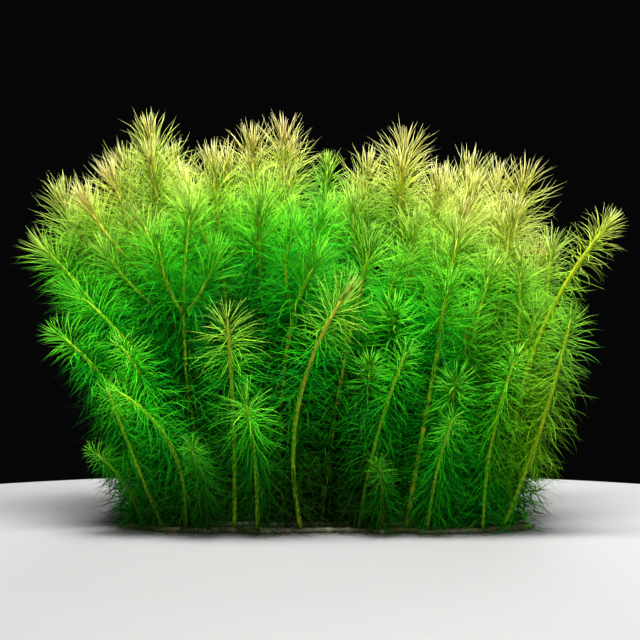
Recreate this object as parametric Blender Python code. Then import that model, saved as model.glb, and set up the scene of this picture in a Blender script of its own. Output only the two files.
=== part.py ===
"""A clump of a submerged stem plant with needle leaves in whorls.

Five creeping stems lie on the ground and branch from one another. A leafy shoot rises from each of
their nodes: a thin stem inside a brush of leaf whorls, ending in an open crown around its bud.
The clump was cut from the ground flat, at z = 0, and stands on the undersides of its creeping stems.
Sizes and places are in millimetres here, and MM turns them into the scene's metres.
"""

import math
import random

import bmesh
import bpy
import numpy as np

MM = 0.001
SEED = 11

# Creeping stems: six-sided tubes with a side up, cut flat where they were parted from the ground.
CREEPING_RADIUS = 1.6
CREEPING_SIDES = 6
CREEPING_AXIS_HEIGHT = 1.0
CREEPING_TOP = CREEPING_AXIS_HEIGHT + CREEPING_RADIUS * math.cos(math.pi / CREEPING_SIDES)
CREEPING_POINT_SPACING = 10.0
TOUCHING_GAP = 0.3
FORK_OFFSET = CREEPING_RADIUS + TOUCHING_GAP

# Shoots. Reach is from the stem's axis to the tips of a whorl's leaves.
SHOOT_FOOT_HEIGHT = CREEPING_TOP + TOUCHING_GAP
STEM_RADIUS = 1.4
BARE_STEM_LENGTH = 3.0
LEAF_REACH = 20.0
VALLEY_SHARE = 0.36
SHORTEST_SPINE = 0.82
SPINES_ROUND = 4
RING_POINTS = 2 * SPINES_ROUND
FIRST_WHORL = 10.0
LAST_WHORL_BELOW_BUD = 22.0
WHORL_SPACING = 19.5

# Leaves droop near the foot and rise towards the bud: lift is their tips' way along the axis.
DROOP_ZONE = 45.0
DROOPING_LIFT = -5.0
MIDDLE_LIFT = 3.0
RISING_ZONE = 48.0
RISING_LIFT = 13.0
RISING_REACH = 15.0

# The open crown, as (place along the axis from the bud, reach, lift) of its outer and inner leaves.
CROWN_RINGS = [(-8.0, 14.0, 14.0), (0.0, 6.5, 16.0)]
BUD_TIP = 8.0
CROWN_TIP = 16.0

# Each shoot keeps to the space nearer to its own axis than to any other, less this clearance.
CELL_CLEARANCE = 1.1
AXIS_SAMPLES = 48

GROUND_CUTTER = (400.0, 300.0, 20.0)

SHOOT_GREEN = (0.16, 0.42, 0.04)
CREEPING_GREEN = (0.20, 0.19, 0.06)

# Each shoot is ((foot x, y), (middle x, y, z), (bud x, y, z), size), in order along its creeping stem.
# The camera of the photograph stands on the -Y side.
FRONT_SHOOTS = [
    ((86, -44), (100, -54, 42), (115, -58, 98), 0.95),
    ((76, -50), (79, -59, 41), (89, -68, 80), 0.85),
    ((50, -55), (54, -64, 31), (60, -76, 53), 0.80),
    ((40, -49), (51, -56, 66), (64, -50, 139), 1.0),
    ((29, -55), (29, -63, 17), (27, -72, 31), 0.70),
    ((18, -50), (26, -60, 44), (39, -70, 84), 0.85),
    ((-9, -51), (-11, -64, 54), (11, -80, 111), 1.0),
    ((-29, -55), (-30, -64, 35), (-33, -82, 59), 0.95),
    ((-40, -48), (-40, -60, 54), (-42, -76, 96), 1.0),
    ((-52, -53), (-54, -68, 26), (-58, -84, 42), 0.70),
    ((-63, -50), (-68, -62, 40), (-90, -80, 66), 0.95),
    ((-74, -47), (-87, -58, 38), (-97, -66, 66), 0.80),
    ((-84, -39), (-91, -47, 22), (-103, -56, 36), 0.75),
]
FRONT_INNER_SHOOTS = [
    ((-84, -21), (-98, -30, 64), (-122, -40, 91), 0.90),
    ((-73, -27), (-76, -38, 54), (-91, -50, 84), 0.85),
    ((-61, -22), (-84, -21, 76), (-112, -30, 108), 0.95),
    ((-49, -28), (-64, -30, 87), (-61, -26, 151), 0.95),
    ((-17, -28), (-16, -32, 81), (3, -34, 150), 1.0),
    ((1, -26), (11, -34, 76), (24, -38, 134), 1.0),
    ((19, -30), (21, -40, 44), (23, -52, 75), 0.80),
    ((55, -31), (58, -46, 40), (62, -66, 69), 0.95),
    ((66, -25), (70, -28, 76), (82, -24, 124), 0.90),
    ((79, -22), (91, -27, 63), (95, -22, 125), 0.90),
    ((91, -27), (99, -45, 82), (134, -56, 145), 0.80),
]
MIDDLE_SHOOTS = [
    ((88, -2), (102, -2, 63), (112, 2, 132), 0.90),
    ((70, -1), (82, -4, 78), (93, -2, 149), 0.95),
    ((51, 4), (54, 4, 87), (57, 4, 162), 1.0),
    ((38, -5), (37, -19, 58), (34, -40, 101), 0.90),
    ((25, 1), (37, -1, 77), (45, -7, 142), 0.95),
    ((9, -3), (22, -13, 68), (38, -22, 125), 0.90),
    ((-8, 2), (-8, 0, 84), (-13, -4, 148), 0.95),
    ((-23, -1), (-28, 0, 92), (-27, -4, 160), 1.0),
    ((-39, 2), (-45, 4, 97), (-52, 6, 173), 1.0),
    ((-56, -2), (-67, -2, 82), (-85, -6, 144), 0.95),
    ((-69, 4), (-79, 10, 92), (-102, 13, 167), 1.0),
    ((-81, -3), (-104, -8, 97), (-132, -14, 131), 0.90),
]
BACK_INNER_SHOOTS = [
    ((80, 24), (89, 28, 87), (101, 30, 165), 1.0),
    ((60, 27), (68, 28, 92), (75, 30, 170), 1.0),
    ((38, 24), (38, 26, 92), (42, 28, 181), 1.0),
    ((20, 27), (20, 30, 92), (24, 32, 171), 0.95),
    ((2, 24), (0, 26, 92), (4, 27, 174), 0.95),
    ((-15, 28), (-18, 36, 92), (-18, 40, 187), 1.0),
    ((-30, 25), (-32, 24, 92), (-33, 25, 182), 1.0),
    ((-46, 28), (-57, 38, 92), (-74, 42, 174), 0.95),
    ((-59, 24), (-70, 26, 92), (-84, 28, 188), 1.0),
    ((-72, 28), (-92, 42, 82), (-114, 46, 149), 0.90),
    ((-84, 20), (-108, 25, 92), (-127, 28, 157), 0.95),
]
BACK_SHOOTS = [
    ((-84, 42), (-100, 56, 48), (-118, 68, 80), 0.90),
    ((-68, 50), (-78, 60, 80), (-96, 66, 140), 0.95),
    ((-50, 47), (-56, 64, 45), (-62, 84, 72), 0.85),
    ((-33, 53), (-38, 62, 84), (-46, 66, 152), 0.95),
    ((1, 54), (5, 62, 82), (6, 64, 150), 0.95),
    ((22, 49), (24, 66, 42), (30, 84, 66), 0.85),
    ((42, 53), (50, 60, 84), (58, 62, 150), 0.95),
    ((80, 44), (94, 56, 72), (112, 62, 126), 0.95),
]

# Each creeping stem leaves its parent at a fork, past the parent's last shoot, and bends round to its
# own row: (first points of its path, shoots in order, last points). The middle one is the oldest.
CREEPING_STEMS = {
    "middle": ([(99, 2)], MIDDLE_SHOOTS, [(-92, -6)]),
    "front_inner": ([(-92, -6 - FORK_OFFSET), (-92, -14)], FRONT_INNER_SHOOTS, [(100, -31)]),
    "back_inner": ([(99, 2 + FORK_OFFSET), (97, 14)], BACK_INNER_SHOOTS, [(-93, 22)]),
    "front": ([(100, -31 - FORK_OFFSET), (97, -40)], FRONT_SHOOTS, [(-91, -31)]),
    "back": ([(-93, 22 + FORK_OFFSET), (-92, 34)], BACK_SHOOTS, [(92, 38)]),
}


def clear_scene():
    for item in list(bpy.data.objects):
        bpy.data.objects.remove(item, do_unlink=True)


def new_collection(name):
    collection = bpy.data.collections.new(name)
    bpy.context.scene.collection.children.link(collection)
    return collection


def new_material(name, colour, roughness):
    material = bpy.data.materials.new(name)
    material.use_nodes = True
    shader = material.node_tree.nodes["Principled BSDF"]
    shader.inputs["Base Color"].default_value = (*colour, 1.0)
    shader.inputs["Roughness"].default_value = roughness
    shader.inputs["Metallic"].default_value = 0.0
    return material


def unit(vector):
    return vector / np.linalg.norm(vector)


def catmull_rom(points, spacing):
    """Points about this far apart on a smooth curve through the given ones."""
    points = [np.array(point, float) for point in points]
    ends = [2 * points[0] - points[1]] + points + [2 * points[-1] - points[-2]]
    path = []
    for before, start, end, after in zip(ends, ends[1:], ends[2:], ends[3:]):
        steps = max(1, round(np.linalg.norm(end - start) / spacing))
        for step in range(steps):
            t = step / steps
            path.append(
                0.5
                * (
                    2 * start
                    + (end - before) * t
                    + (2 * before - 5 * start + 4 * end - after) * t**2
                    + (3 * start - before - 3 * end + after) * t**3
                )
            )
    return path + [points[-1]]


class Shoot:
    """A shoot's axis: the parabola through its foot, its middle and its bud, then straight on."""

    def __init__(self, foot, middle, bud, size):
        self.size = size
        self.foot = np.array((*foot, SHOOT_FOOT_HEIGHT))
        self.middle = np.array(middle, float)
        self.bud = np.array(bud, float)
        lower = np.linalg.norm(self.middle - self.foot)
        upper = np.linalg.norm(self.bud - self.middle)
        self.knot = lower / (lower + upper)
        steps = np.linspace(0, 1, AXIS_SAMPLES)
        self.curve = np.array([self.on_parabola(t) for t in steps])
        runs = np.linalg.norm(np.diff(self.curve, axis=0), axis=1)
        self.distances = np.concatenate([[0], np.cumsum(runs)])
        self.length = self.distances[-1]
        self.end_direction = unit(self.curve[-1] - self.curve[-2])
        crown_tip = self.bud + self.end_direction * CROWN_TIP * size
        self.samples = np.vstack([self.curve, (self.bud + crown_tip) / 2, crown_tip])

    def on_parabola(self, t):
        knot = self.knot
        from_foot = (t - knot) * (t - 1) / knot
        from_middle = t * (t - 1) / (knot * (knot - 1))
        from_bud = t * (t - knot) / (1 - knot)
        return from_foot * self.foot + from_middle * self.middle + from_bud * self.bud

    def point(self, distance):
        if distance > self.length:
            return self.bud + self.end_direction * (distance - self.length)
        return np.array([np.interp(distance, self.distances, self.curve[:, i]) for i in range(3)])

    def direction(self, distance):
        return unit(self.point(distance + 1.0) - self.point(max(0.0, distance - 1.0)))

    def is_near(self, other):
        apart = distance_to_axis(self.samples, other.samples).min()
        return other is not self and apart < 2 * LEAF_REACH


def distance_to_axis(points, samples):
    """The distance from each point to the line through the samples."""
    starts = samples[:-1]
    runs = samples[1:] - starts
    offsets = points[:, None, :] - starts[None]
    shares = (offsets * runs).sum(-1) / (runs**2).sum(-1)
    nearest = starts + np.clip(shares, 0, 1)[..., None] * runs
    return np.linalg.norm(points[:, None, :] - nearest, axis=-1).min(-1)


def keep_in_cell(centre, target, shoot, others):
    """The last point on the way from centre to target that is in the shoot's own space."""
    shares = np.linspace(1.0, 0.04, 49)
    points = centre + shares[:, None] * (target - centre)
    own = distance_to_axis(points, shoot.samples)
    free = points[:, 2] >= SHOOT_FOOT_HEIGHT
    for other in others:
        free &= distance_to_axis(points, other.samples) - own >= 2 * CELL_CLEARANCE
    return points[np.argmax(free)] if free.any() else points[-1]


def whorl_shape(shoot, distance):
    """The reach of a whorl's leaf tips from the axis, and their lift along it."""
    below = min(1.0, distance / DROOP_ZONE)
    above = min(1.0, (shoot.length - distance) / (RISING_ZONE * shoot.size))
    reach = RISING_REACH + (LEAF_REACH - RISING_REACH) * above
    lift = RISING_LIFT + (MIDDLE_LIFT - RISING_LIFT) * above
    return reach * (0.7 + 0.3 * below), lift + (DROOPING_LIFT - MIDDLE_LIFT) * (1 - below) * above


def leaf_rings(shoot):
    """The shoot's rings of leaf tips, as (distance from the foot, reach, lift)."""
    last = shoot.length - LAST_WHORL_BELOW_BUD * shoot.size
    count = max(2, round((last - FIRST_WHORL) / WHORL_SPACING) + 1)
    rings = []
    for distance in np.linspace(FIRST_WHORL, max(last, FIRST_WHORL + 6.0), count):
        rings.append((distance, *whorl_shape(shoot, distance)))
    for offset, reach, lift in CROWN_RINGS:
        rings.append((shoot.length + offset * shoot.size, reach, lift))
    return rings


def ring_points(shoot, distance, spin, reaches, lifts):
    """A ring round the axis at this distance, with each point's own reach and lift, and its centre."""
    up = shoot.direction(distance) if distance else np.array((0.0, 0.0, 1.0))
    side = unit(np.cross(up, (0.0, -1.0, 0.0)))
    front = np.cross(up, side)
    centre = shoot.point(distance)
    points = []
    for step, (reach, lift) in enumerate(zip(reaches, lifts)):
        angle = spin + math.tau * step / RING_POINTS
        outward = side * math.cos(angle) + front * math.sin(angle)
        points.append(centre + outward * reach + up * lift)
    return centre, points


def shoot_rings(shoot, others, rng):
    """Rings of points from the shoot's foot to its crown; tips of leaves and valleys take turns."""
    spin = rng.uniform(0, math.tau)
    rings = []
    for distance in (0.0, BARE_STEM_LENGTH):
        centre, ring = ring_points(
            shoot, distance, spin, [STEM_RADIUS] * RING_POINTS, [0.0] * RING_POINTS
        )
        rings.append(ring)
    for index, (distance, reach, lift) in enumerate(leaf_rings(shoot)):
        shares = np.array([rng.uniform(SHORTEST_SPINE, 1.0) for _ in range(RING_POINTS)])
        shares *= shoot.size
        shares[1 - index % 2 :: 2] *= VALLEY_SHARE
        centre, targets = ring_points(shoot, distance, spin, reach * shares, lift * shares)
        rings.append([keep_in_cell(centre, target, shoot, others) for target in targets])
    return rings


def loft_shoot(name, rings, tip, material, collection):
    """Closes the rings into one body, each leaf tip a four-sided spine between its valleys."""
    model = bmesh.new()
    rows = [[model.verts.new(point * MM) for point in ring] for ring in rings]
    model.faces.new(rows[0][::-1])
    for index, (lower, upper) in enumerate(zip(rows, rows[1:])):
        for step in range(RING_POINTS):
            after = (step + 1) % RING_POINTS
            if (step + index) % 2:
                model.faces.new((lower[step], lower[after], upper[after]))
                model.faces.new((lower[step], upper[after], upper[step]))
            else:
                model.faces.new((lower[step], lower[after], upper[step]))
                model.faces.new((lower[after], upper[after], upper[step]))
    point = model.verts.new(tip * MM)
    for step in range(RING_POINTS):
        model.faces.new((rows[-1][step], rows[-1][(step + 1) % RING_POINTS], point))
    mesh = bpy.data.meshes.new(name)
    model.to_mesh(mesh)
    model.free()
    mesh.materials.append(material)
    made = bpy.data.objects.new(name, mesh)
    collection.objects.link(made)
    return made


def ground_cutter(collection):
    """A block below z = 0, which takes away what the creeping stems had in the ground."""
    bpy.ops.mesh.primitive_cube_add(size=1, location=(0, 0, -GROUND_CUTTER[2] * MM / 2))
    cutter = bpy.context.object
    cutter.name = "ground_cutter"
    cutter.scale = [side * MM for side in GROUND_CUTTER]
    bpy.ops.object.transform_apply(location=False, rotation=False, scale=True)
    for holder in list(cutter.users_collection):
        holder.objects.unlink(cutter)
    collection.objects.link(cutter)
    cutter.hide_render = True
    cutter.display_type = "WIRE"
    return cutter


def creeping_stem(name, path, cutter, material, collection):
    """A round tube along the path, as a mesh with its caps welded, cut flat by the ground."""
    curve = bpy.data.curves.new(name, "CURVE")
    curve.dimensions = "3D"
    curve.bevel_depth = CREEPING_RADIUS * MM
    curve.bevel_resolution = CREEPING_SIDES // 2 - 2
    curve.use_fill_caps = True
    spline = curve.splines.new("POLY")
    spline.points.add(len(path) - 1)
    for point, (x, y) in zip(spline.points, path):
        point.co = (x * MM, y * MM, CREEPING_AXIS_HEIGHT * MM, 1)
    guide = bpy.data.objects.new(name + "_guide", curve)
    collection.objects.link(guide)
    bpy.context.view_layer.update()
    graph = bpy.context.evaluated_depsgraph_get()
    mesh = bpy.data.meshes.new_from_object(guide.evaluated_get(graph))
    bpy.data.objects.remove(guide, do_unlink=True)
    mesh.name = name
    model = bmesh.new()
    model.from_mesh(mesh)
    bmesh.ops.remove_doubles(model, verts=model.verts, dist=0.00001)
    model.to_mesh(mesh)
    model.free()
    mesh.materials.clear()
    mesh.materials.append(material)
    made = bpy.data.objects.new(name, mesh)
    collection.objects.link(made)
    cut = made.modifiers.new("cut_from_the_ground", "BOOLEAN")
    cut.operation = "DIFFERENCE"
    cut.object = cutter
    mesh.shade_smooth()
    mesh.set_sharp_from_angle(angle=math.radians(50))
    return made


def main():
    clear_scene()
    plant = new_collection("needle_leaf_clump")
    cutters = new_collection("cutters")
    shoot_material = new_material("shoot_foliage", SHOOT_GREEN, 0.45)
    creeping_material = new_material("creeping_stem", CREEPING_GREEN, 0.6)
    cutter = ground_cutter(cutters)
    rng = random.Random(SEED)

    shoots = {}
    for row, (lead_in, row_shoots, lead_out) in CREEPING_STEMS.items():
        feet = [shoot[0] for shoot in row_shoots]
        path = catmull_rom(lead_in + feet + lead_out, CREEPING_POINT_SPACING)
        creeping_stem(row + "_creeping_stem", path, cutter, creeping_material, plant)
        for number, shoot in enumerate(row_shoots, 1):
            shoots[f"{row}_shoot_{number:02d}"] = Shoot(*shoot)

    for name, shoot in shoots.items():
        neighbours = [other for other in shoots.values() if shoot.is_near(other)]
        rings = shoot_rings(shoot, neighbours, rng)
        bud_tip = shoot.point(shoot.length + BUD_TIP * shoot.size)
        loft_shoot(name, rings, bud_tip, shoot_material, plant)


main()
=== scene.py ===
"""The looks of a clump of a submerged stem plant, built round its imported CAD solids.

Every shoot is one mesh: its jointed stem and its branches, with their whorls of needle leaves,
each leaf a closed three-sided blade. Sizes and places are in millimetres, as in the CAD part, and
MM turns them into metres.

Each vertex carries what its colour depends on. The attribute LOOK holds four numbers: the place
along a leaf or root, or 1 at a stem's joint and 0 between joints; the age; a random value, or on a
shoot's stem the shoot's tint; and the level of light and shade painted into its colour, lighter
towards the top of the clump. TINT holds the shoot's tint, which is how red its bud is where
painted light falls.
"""

import math

import bpy
import mathutils
import numpy as np
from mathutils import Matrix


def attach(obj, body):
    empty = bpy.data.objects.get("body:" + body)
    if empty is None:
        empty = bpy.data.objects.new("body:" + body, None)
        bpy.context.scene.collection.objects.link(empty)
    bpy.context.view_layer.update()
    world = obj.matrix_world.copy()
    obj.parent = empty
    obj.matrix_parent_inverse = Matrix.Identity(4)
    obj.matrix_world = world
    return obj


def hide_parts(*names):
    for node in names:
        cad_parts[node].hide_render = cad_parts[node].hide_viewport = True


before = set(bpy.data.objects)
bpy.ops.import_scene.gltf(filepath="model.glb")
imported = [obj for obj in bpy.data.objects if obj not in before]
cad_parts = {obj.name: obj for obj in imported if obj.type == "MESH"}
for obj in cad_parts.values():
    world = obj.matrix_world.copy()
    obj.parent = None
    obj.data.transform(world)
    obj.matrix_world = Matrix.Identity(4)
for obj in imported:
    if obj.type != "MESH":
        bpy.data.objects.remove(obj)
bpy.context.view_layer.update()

MM = 0.001
SEED = 16
LOOK = "leaf_look"
TINT = "shoot_tint"
BAKE_MAP = "OFBake"
LEAF_SLOT, STEM_SLOT = 0, 1
SKIN_SLOT = 0

# The CAD part's own values, and its shoots: ((foot x, y), (middle x, y, z), (bud x, y, z), size).
CREEPING_RADIUS = 1.6
CREEPING_AXIS_HEIGHT = 1.0
TOUCHING_GAP = 0.3
FORK_OFFSET = CREEPING_RADIUS + TOUCHING_GAP
SHOOT_FOOT_HEIGHT = CREEPING_AXIS_HEIGHT + CREEPING_RADIUS * math.cos(math.pi / 6) + TOUCHING_GAP

FRONT_SHOOTS = [
    ((86, -44), (100, -54, 42), (115, -58, 98), 0.95),
    ((76, -50), (79, -59, 41), (89, -68, 80), 0.85),
    ((50, -55), (54, -64, 31), (60, -76, 53), 0.80),
    ((40, -49), (51, -56, 66), (64, -50, 139), 1.0),
    ((29, -55), (29, -63, 17), (27, -72, 31), 0.70),
    ((18, -50), (26, -60, 44), (39, -70, 84), 0.85),
    ((-9, -51), (-11, -64, 54), (11, -80, 111), 1.0),
    ((-29, -55), (-30, -64, 35), (-33, -82, 59), 0.95),
    ((-40, -48), (-40, -60, 54), (-42, -76, 96), 1.0),
    ((-52, -53), (-54, -68, 26), (-58, -84, 42), 0.70),
    ((-63, -50), (-68, -62, 40), (-90, -80, 66), 0.95),
    ((-74, -47), (-87, -58, 38), (-97, -66, 66), 0.80),
    ((-84, -39), (-91, -47, 22), (-103, -56, 36), 0.75),
]
FRONT_INNER_SHOOTS = [
    ((-84, -21), (-98, -30, 64), (-122, -40, 91), 0.90),
    ((-73, -27), (-76, -38, 54), (-91, -50, 84), 0.85),
    ((-61, -22), (-84, -21, 76), (-112, -30, 108), 0.95),
    ((-49, -28), (-64, -30, 87), (-61, -26, 151), 0.95),
    ((-17, -28), (-16, -32, 81), (3, -34, 150), 1.0),
    ((1, -26), (11, -34, 76), (24, -38, 134), 1.0),
    ((19, -30), (21, -40, 44), (23, -52, 75), 0.80),
    ((55, -31), (58, -46, 40), (62, -66, 69), 0.95),
    ((66, -25), (70, -28, 76), (82, -24, 124), 0.90),
    ((79, -22), (91, -27, 63), (95, -22, 125), 0.90),
    ((91, -27), (99, -45, 82), (134, -56, 145), 0.80),
]
MIDDLE_SHOOTS = [
    ((88, -2), (102, -2, 63), (112, 2, 132), 0.90),
    ((70, -1), (82, -4, 78), (93, -2, 149), 0.95),
    ((51, 4), (54, 4, 87), (57, 4, 162), 1.0),
    ((38, -5), (37, -19, 58), (34, -40, 101), 0.90),
    ((25, 1), (37, -1, 77), (45, -7, 142), 0.95),
    ((9, -3), (22, -13, 68), (38, -22, 125), 0.90),
    ((-8, 2), (-8, 0, 84), (-13, -4, 148), 0.95),
    ((-23, -1), (-28, 0, 92), (-27, -4, 160), 1.0),
    ((-39, 2), (-45, 4, 97), (-52, 6, 173), 1.0),
    ((-56, -2), (-67, -2, 82), (-85, -6, 144), 0.95),
    ((-69, 4), (-79, 10, 92), (-102, 13, 167), 1.0),
    ((-81, -3), (-104, -8, 97), (-132, -14, 131), 0.90),
]
BACK_INNER_SHOOTS = [
    ((80, 24), (89, 28, 87), (101, 30, 165), 1.0),
    ((60, 27), (68, 28, 92), (75, 30, 170), 1.0),
    ((38, 24), (38, 26, 92), (42, 28, 181), 1.0),
    ((20, 27), (20, 30, 92), (24, 32, 171), 0.95),
    ((2, 24), (0, 26, 92), (4, 27, 174), 0.95),
    ((-15, 28), (-18, 36, 92), (-18, 40, 187), 1.0),
    ((-30, 25), (-32, 24, 92), (-33, 25, 182), 1.0),
    ((-46, 28), (-57, 38, 92), (-74, 42, 174), 0.95),
    ((-59, 24), (-70, 26, 92), (-84, 28, 188), 1.0),
    ((-72, 28), (-92, 42, 82), (-114, 46, 149), 0.90),
    ((-84, 20), (-108, 25, 92), (-127, 28, 157), 0.95),
]
BACK_SHOOTS = [
    ((-84, 42), (-100, 56, 48), (-118, 68, 80), 0.90),
    ((-68, 50), (-78, 60, 80), (-96, 66, 140), 0.95),
    ((-50, 47), (-56, 64, 45), (-62, 84, 72), 0.85),
    ((-33, 53), (-38, 62, 84), (-46, 66, 152), 0.95),
    ((1, 54), (5, 62, 82), (6, 64, 150), 0.95),
    ((22, 49), (24, 66, 42), (30, 84, 66), 0.85),
    ((42, 53), (50, 60, 84), (58, 62, 150), 0.95),
    ((80, 44), (94, 56, 72), (112, 62, 126), 0.95),
]
CREEPING_STEMS = {
    "middle": ([(99, 2)], MIDDLE_SHOOTS, [(-92, -6)]),
    "front_inner": ([(-92, -6 - FORK_OFFSET), (-92, -14)], FRONT_INNER_SHOOTS, [(100, -31)]),
    "back_inner": ([(99, 2 + FORK_OFFSET), (97, 14)], BACK_INNER_SHOOTS, [(-93, 22)]),
    "front": ([(100, -31 - FORK_OFFSET), (97, -40)], FRONT_SHOOTS, [(-91, -31)]),
    "back": ([(-93, 22 + FORK_OFFSET), (-92, 34)], BACK_SHOOTS, [(92, 38)]),
}

# How a whorl depends on its age, which is its distance below the bud: each list goes with
# WHORL_AGES. A crown is between a closed tuft and an open star, whose angles are given apart.
WHORL_AGES = [0, 3, 8, 15, 28, 50, 85, 140, 200]
WHORL_SPACING = [1.4, 1.4, 1.6, 2.0, 2.8, 3.3, 3.6, 3.8, 4.0]
LEAVES_ROUND = [5, 6, 8, 10, 12, 12, 12, 12, 12]
LEAF_LENGTHS = [12, 19, 23.5, 24, 24, 23.5, 23, 23, 23]
LEAF_WIDTHS = [0.36, 0.38, 0.4, 0.39, 0.36, 0.34, 0.33, 0.33, 0.33]
FOOT_ANGLES = [6, 16, 30, 46, 68, 78, 82, 84, 84]
TIP_ANGLES = [9, 24, 42, 64, 92, 102, 108, 112, 115]
STAR_FOOT_ANGLES = [25, 45, 68, 88, 100, 98, 90, 86, 85]
STAR_TIP_ANGLES = [36, 62, 95, 115, 126, 122, 114, 112, 115]
ANGLE_SCATTERS = [5, 9, 13, 15, 18, 22, 26, 30, 32]
SAGS = [0, 0, 0, 0.04, 0.14, 0.24, 0.26, 0.22, 0.15]
WAVES = [0.08, 0.22, 0.34, 0.42, 0.52, 0.64, 0.8, 1.0, 1.1]
STEM_RADII = [0.48, 0.58, 0.72, 0.84, 0.92, 0.97, 1.0, 1.02, 1.05]
OLDEST = 150.0
FIRST_WHORL = 0.4
BARE_FOOT = 1.5
SPACED_AGES = (12, 30)
ROW_SPACINGS = {"front": 1.0, "front_inner": 0.85, "middle": 0.7, "back_inner": 0.7, "back": 0.9}

# How one leaf may differ from the others of its whorl.
COUNT_SPREAD = 0.7
FEWEST_LEAVES = 4
AZIMUTH_SPREAD = 0.16
FOOT_SPREAD = 0.25
LENGTH_RANGE = (0.78, 1.12)
WIDTH_RANGE = (0.85, 1.15)
SAG_RANGE = (0.0, 2.0)
TIP_SCATTER = 1.6
SIDE_LEAN = 0.14
SIDE_WAVE = 0.4
WAVE_TURNS = (2.5, 6.0)

# How a leaf runs from inside its stem to its tip.
PATH_STEPS = 12
LEAF_START = 0.7
BEND_POWER = 1.2
UP_WAVE = 0.5
ROUND_WAVE = 0.35
SAG_PULL = 1.6
LOWEST_LEAF = 0.5
LOWEST_SPREAD = 0.6

# A leaf's blade: its thickness and outline, and its rings by how much of its bend shows.
THICKNESS_SHARE = 0.65
RIDGE_SHARE = 0.6
OUTLINE_PLACES = [0, 0.12, 0.45, 0.8, 1.0]
OUTLINE_WIDTHS = [0.7, 1.0, 1.0, 0.6, 0.0]
HIDDEN_RINGS = 2
SIMPLE_RINGS = 3
CURVED_RINGS = 4
SMOOTH_RINGS = 6
CURVED_FROM = 12

# The light and shade painted into a leaf's colour, by its height, which is first shifted by its
# place across the clump: by LIGHT_RISES, and low down by LOW_RISES too. Up to SHADE_LEVEL it is
# painted shade.
LIGHT_HEIGHTS = [0, 20, 45, 90, 115, 135, 150, 165, 180]
LIGHT_LEVELS = [0.0, 0.06, 0.2, 0.38, 0.41, 0.5, 0.7, 0.93, 1.0]
LIGHT_PLACES = [-140, -90, -50, 0, 30, 70, 100, 140]
LIGHT_RISES = [20, 4, -5, -10, 2, 16, 32, 44]
LOW_HEIGHTS = (30, 110)
LOW_RISES = [12, 15, 4, -6, 8, 68, 86, 60]
SHADE_LEVEL = 0.4

# A shoot's own shift of the painted light, random or given in HABITS, is added to that level, in
# full on its young leaves and less on the old ones.
LIGHT_SHIFT_SPREAD = 0.06
LIGHT_SHIFT_AGES = (8, 32)
OLD_LIGHT_SHIFT = 0.2

# Deep in the clump, leaves are broader, longer and straighter, and whorls closer, so that fewer
# leaves close it. Each row changes over between two heights.
DEEP_HEIGHTS = {"front_inner": (60, 95), "middle": (80, 115), "back_inner": (85, 115)}
DEEP_BREADTHS = {"front_inner": 2.5, "middle": 3.4, "back_inner": 3.4}
NOT_DEEP = (-2.0, -1.0)
DEEP_GAP = 0.85
DEEP_LENGTH = 1.25
DEEP_WAVE = 0.45

# The crown: how much of a star it is and how long its leaves are by the bud's height, and how red
# the bud is by its place across the clump.
STAR_HEIGHTS = (70, 110, 150)
STAR_SHARES = (1.0, 0.5, 0.1)
STAR_SPREAD = (-0.1, 0.15)
STAR_RISE = 5.0
STAR_THINNING = 0.18
TUFT_DROP = 3.5
YOUNG_HEIGHTS = (60, 130)
YOUNG_LENGTHS = (0.55, 1.0)
YOUNG_AGES = (15, 45)
TINT_PLACES = (0, 60)
TINT_SHARES = (1.0, 0.3)

# Side branches leave a tall shoot below its crown, and basal ones a back shoot near its foot.
# Their buds keep within BRANCH_LIMITS: the lowest and highest x, and how far y may be from 0.
BRANCH_TRIES = 24
BRANCH_LIMITS = (-126, 104, 84)
BRANCHED_ABOVE = 118
TWICE_BRANCHED_ABOVE = 140
SIDE_BELOW = 48
SIDE_REACH = (12, 18)
SIDE_DROPS = [(6, 24), (3, 16)]
SIDE_BOW = 0.2
BASAL_COUNTS = {"back": 2}
BASAL_ABOVE = 95
BASAL_START = (12, 26)
BASAL_HEIGHTS = (42, 92)
BASAL_HEADINGS = (0.1, math.pi - 0.1)
BASAL_REACH = (15, 24)
BASAL_BOW = 0.15

# Stems: where their joints start below the bud, and from how many on every second one is left out.
AXIS_POINTS = 96
STEM_SIDES = 8
INNER_STEM_SIDES = 6
JOINT_SWELL = 1.12
JOINTS_BELOW = 6
MANY_JOINTS = 40
STEM_END = 1.0
STEM_END_SHARE = 0.4

# Creeping stems and their rootlets.
CREEPING_STEP = 1.8
CREEPING_SIDES = 12
CREEPING_JOINT_STEP = 5
CREEPING_KNOB = 0.1
CREEPING_UNEVENNESS = 0.03
ROOT_TUFT_STEP = 5
ROOT_TUFT_MARGIN = 3
ROOTS_IN_TUFT = 7
ROOT_LENGTHS = (5, 18)
ROOT_WIDTHS = (0.22, 0.38)
ROOT_FACING = (0.3, 0.2, 1.0)
ROOT_START = 0.85
ROOT_CLIMB = 1.4
ROOT_LEAN = 0.9
ROOT_WAVE = 0.7
ROOT_TURNS = (3, 7)
ROOT_LEVEL = 0.35
ROOT_DROP = 2.5
ROOT_LIFT = 0.4

# The UV map's rows, for the leaves or the roots and then for the stems, and its margins.
LEAF_ROWS = 0.9
STEM_BAND = (0.92, 0.99)
ROOT_ROWS = 0.48
CREEPING_BAND = (0.5, 0.99)
BLADE_MARGIN = 0.01
ROW_SHARE = 0.92
TUBE_MARGIN = 0.02
FOOT_CAP_PLACES = (0.005, 0.005, 0.015)
TIP_CAP_PLACES = (0.985, 0.985, 0.995)
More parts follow.
